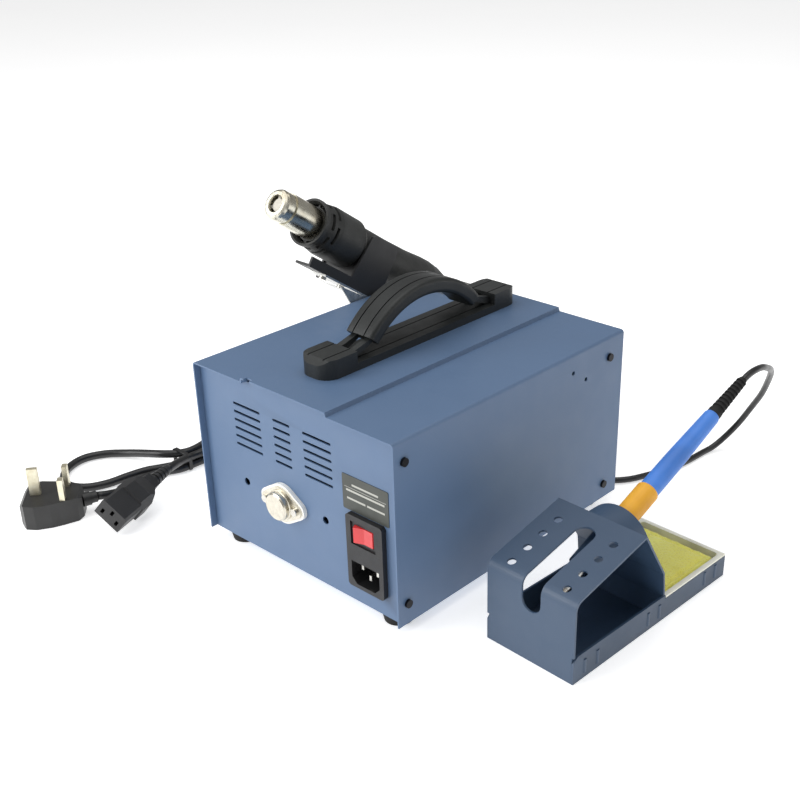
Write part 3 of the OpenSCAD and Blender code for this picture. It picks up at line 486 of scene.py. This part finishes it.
def board_material():
    """Green solder mask over lanes of copper."""
    m = Paint("circuit_board")
    lanes = m.add("ShaderNodeTexBrick", Scale=160.0)
    m.link(m.coords, lanes.inputs["Vector"])
    lanes.inputs["Color1"].default_value = (0.02, 0.12, 0.04, 1)
    lanes.inputs["Color2"].default_value = (0.03, 0.17, 0.06, 1)
    lanes.inputs["Mortar"].default_value = (0.05, 0.26, 0.10, 1)
    m.colour(lanes.outputs["Color"])
    m.rough(m.ramp(m.noise(120, 2), 0.3, 0.7, 0.3, 0.45))
    m.bump(lanes.outputs["Fac"], 0.2, 0.0001)
    return m.material


MATERIALS = {
    "case_paint": powder_coat("case_powder_coat", (0.070, 0.118, 0.205)),
    "stand_paint": powder_coat("stand_powder_coat", (0.030, 0.056, 0.100)),
    "bare_steel": brushed("bare_steel", (0.55, 0.55, 0.53), 0.32, (14, 1, 1)),
    "front_overlay": moulded("front_overlay", (0.05, 0.06, 0.08), 0.45, 1400, 0.00005, 0.2),
    "black_plastic": moulded("black_plastic", (0.016, 0.016, 0.017), 0.42),
    "handle_plastic": moulded("handle_plastic", (0.014, 0.016, 0.016), 0.44, 1100, 0.0001, 0.4),
    "rubber": moulded("foot_rubber", (0.014, 0.014, 0.014), 0.7, 500, 0.0002, 0.4, 0.3),
    "screw_black": brushed("screw_black", (0.03, 0.03, 0.032), 0.38, (1, 1, 1), 500),
    "screw_steel": brushed("screw_steel", (0.68, 0.66, 0.60), 0.25, (1, 1, 1), 500),
    # painted glow: the rocker gets a faint emission in its own red
    "red_rocker": gloss("red_rocker", (0.62, 0.025, 0.03), 0.16, 0.25),
    "label": label_material(),
    "insulator_white": moulded("insulator_white", (0.80, 0.79, 0.74), 0.4, 700, 0.00005, 0.15),
    "can_nickel": brushed("can_nickel", (0.70, 0.66, 0.56), 0.3, (1, 12, 1), 260),
    "pin_metal": brushed("pin_metal", (0.70, 0.68, 0.62), 0.25),
    "coil_core": moulded("coil_core", (0.20, 0.16, 0.11), 0.5, 300, 0.0003, 0.4),
    "board_green": board_material(),
    "clear_tube": moulded("clear_tube", (0.60, 0.57, 0.48), 0.3, 800, 0.00005, 0.1),
    "display_dark": gloss("display_dark", (0.07, 0.008, 0.01), 0.1),
    "knob_grey": moulded("knob_grey", (0.10, 0.10, 0.11), 0.4),
    "gun_plastic": moulded("gun_plastic", (0.024, 0.025, 0.024), 0.5, 800, 0.00015, 0.4),
    "heater_steel": brushed("heater_steel", (0.72, 0.70, 0.60), 0.24, (9, 1, 1), 300,
                            (0.42, 0.34, 0.22)),
    "ceramic": moulded("ceramic", (0.74, 0.70, 0.62), 0.75, 400, 0.0002, 0.3, 0.3),
    "tip_metal": brushed("tip_metal", (0.5, 0.47, 0.42), 0.35),
    "orange_grip": moulded("orange_grip", (0.95, 0.44, 0.035), 0.46, 800, 0.0001, 0.25),
    "blue_handle": moulded("blue_handle", (0.070, 0.235, 0.72), 0.42, 900, 0.0001, 0.25),
    "cord_black": cord_rubber("cord_black", (0.011, 0.011, 0.012)),
    "tray_cream": moulded("tray_cream", (0.78, 0.77, 0.66), 0.45, 700, 0.0001, 0.2),
    "sponge_yellow": sponge_material(),
    "plug_black": moulded("plug_black", (0.019, 0.019, 0.020), 0.42, 1100, 0.00008, 0.25),
}


def finish_with(o, material):
    o.data.materials.clear()
    o.data.materials.append(material)


for part in frame["record"]["subparts"]:
    finish_with(NODES[part["node"]], MATERIALS[part["material_slot"]])
finish_with(NODES["mains_plug"], plug_material())
finish_with(iron_cord, MATERIALS["cord_black"])
finish_with(mains_lead, MATERIALS["cord_black"])


# ---- sponge: a pillowy pad with a groove along its edges ----


STAND_TURN = math.radians(-2.35)
SPONGE_GAP = 0.0003
SPONGE_GRID = 56
SIDE_PULL, CORNER_CUT, FOOT_SHARE = 0.018, 0.045, 0.985
CROWN, SIDE_ROLL, GROOVE, RIPPLE = 0.0008, 0.0034, 0.0018, 0.00018
TOP_DROP, GROOVE_AT, SOFTNESS = 0.0010, 0.17, 0.035


def make_sponge():
    low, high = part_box("sponge")
    middle = (low + high) / 2
    wide, deep = (high.x - low.x) / 2, (high.y - low.y) / 2
    # the box of a rectangle turned a little, solved for the rectangle's own half sides
    c, s = math.cos(STAND_TURN), math.sin(abs(STAND_TURN))
    half_x = (wide * c - deep * s) / (c * c - s * s) - SPONGE_GAP
    half_y = (deep * c - wide * s) / (c * c - s * s) - SPONGE_GAP
    n = SPONGE_GRID
    verts, faces = [], []

    def outline(u, v):
        """A square with soft corners, its sides pulled in a little between them."""
        x = u * (1 - SIDE_PULL * (1 - v * v)) * half_x
        y = v * (1 - SIDE_PULL * (1 - u * u)) * half_y
        corner = max(abs(u), abs(v)) ** 6 * (u * u * v * v)
        return x * (1 - CORNER_CUT * corner), y * (1 - CORNER_CUT * corner)

    def height(u, v):
        """The top face: crowned, rolled off at its sides, with a groove along them."""
        edge = 1 - max(abs(u), abs(v))
        crown = CROWN * (1 - u * u) * (1 - v * v)
        roll = SIDE_ROLL * math.exp(-edge / SOFTNESS)
        groove = GROOVE * math.exp(-((edge - GROOVE_AT) / SOFTNESS) ** 2)
        ripple = RIPPLE * (math.sin(9 * u + 2) * math.cos(7 * v) + math.sin(23 * u * v + 1))
        return high.z - TOP_DROP + crown - roll - groove + ripple

    for layer in range(2):
        for i in range(n + 1):
            for j in range(n + 1):
                u, v = 2 * i / n - 1, 2 * j / n - 1
                x, y = outline(u, v)
                z = height(u, v) if layer == 0 else low.z
                if layer == 1:
                    x, y = x * FOOT_SHARE, y * FOOT_SHARE
                verts.append((middle.x + x * math.cos(STAND_TURN) - y * math.sin(STAND_TURN),
                              middle.y + x * math.sin(STAND_TURN) + y * math.cos(STAND_TURN), z))
    w = n + 1
    for i in range(n):
        for j in range(n):
            a = i * w + j
            faces.append((a, a + w, a + w + 1, a + 1))
            b = w * w + a
            faces.append((b, b + 1, b + w + 1, b + w))
    rim = ([i * w for i in range(w)] + [n * w + j for j in range(1, w)]
           + [i * w + n for i in range(n - 1, -1, -1)] + [j for j in range(n - 1, 0, -1)])
    for a, b in zip(rim, rim[1:] + rim[:1]):
        faces.append((b, a, a + w * w, b + w * w))
    o = new_object("sponge_pad", verts, faces)
    finish_with(o, MATERIALS["sponge_yellow"])
    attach(o, "sponge")
    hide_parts("sponge")


make_sponge()


# ---- floor and light ----


FLOOR_Z = -0.0002


def floor_material():
    """A plain pale sheet that glows a little, so that it stays white far from the lights."""
    m = Paint("studio_floor")
    m.colour(m.mix(m.ramp(m.noise(3, 2), 0.3, 0.7, 0, 1), (0.93, 0.93, 0.935), (0.95, 0.95, 0.95)))
    m.rough(0.55)
    m.set(Specular_IOR_Level=0.2, Emission_Color=(1, 1, 1, 1), Emission_Strength=0.55)
    return m.material


floor = new_object("studio_floor_sheet",
                   [(-8, -10, FLOOR_Z), (8, -10, FLOOR_Z), (8, 6, FLOOR_Z), (-8, 6, FLOOR_Z)],
                   [(0, 1, 2, 3)], smooth=False)
finish_with(floor, floor_material())


def area_light(name, at, aim, size, power):
    data = bpy.data.lights.new(name, "AREA")
    data.shape = "RECTANGLE"
    data.size, data.size_y = size
    data.energy = power
    light = bpy.data.objects.new(name, data)
    light.location = at
    light.rotation_mode = "QUATERNION"
    light.rotation_quaternion = (Vector(aim) - Vector(at)).to_track_quat("-Z", "Y")
    scene.collection.objects.link(light)


area_light("key_left", (0.95, 1.45, 0.95), (0, 0, 0.05), (1.5, 1.3), 24)
area_light("top", (0.1, -0.1, 1.9), (0, 0, 0), (2.2, 2.2), 20)
area_light("side_fill", (-1.5, -0.9, 0.7), (-0.05, 0, 0.08), (0.9, 0.8), 3)
world = bpy.data.worlds.new("studio")
world.use_nodes = True
backdrop = world.node_tree.nodes["Background"]
backdrop.inputs["Color"].default_value = (1.0, 1.0, 1.0, 1)
backdrop.inputs["Strength"].default_value = 0.30
scene.world = world
scene.view_settings.view_transform = "Standard"
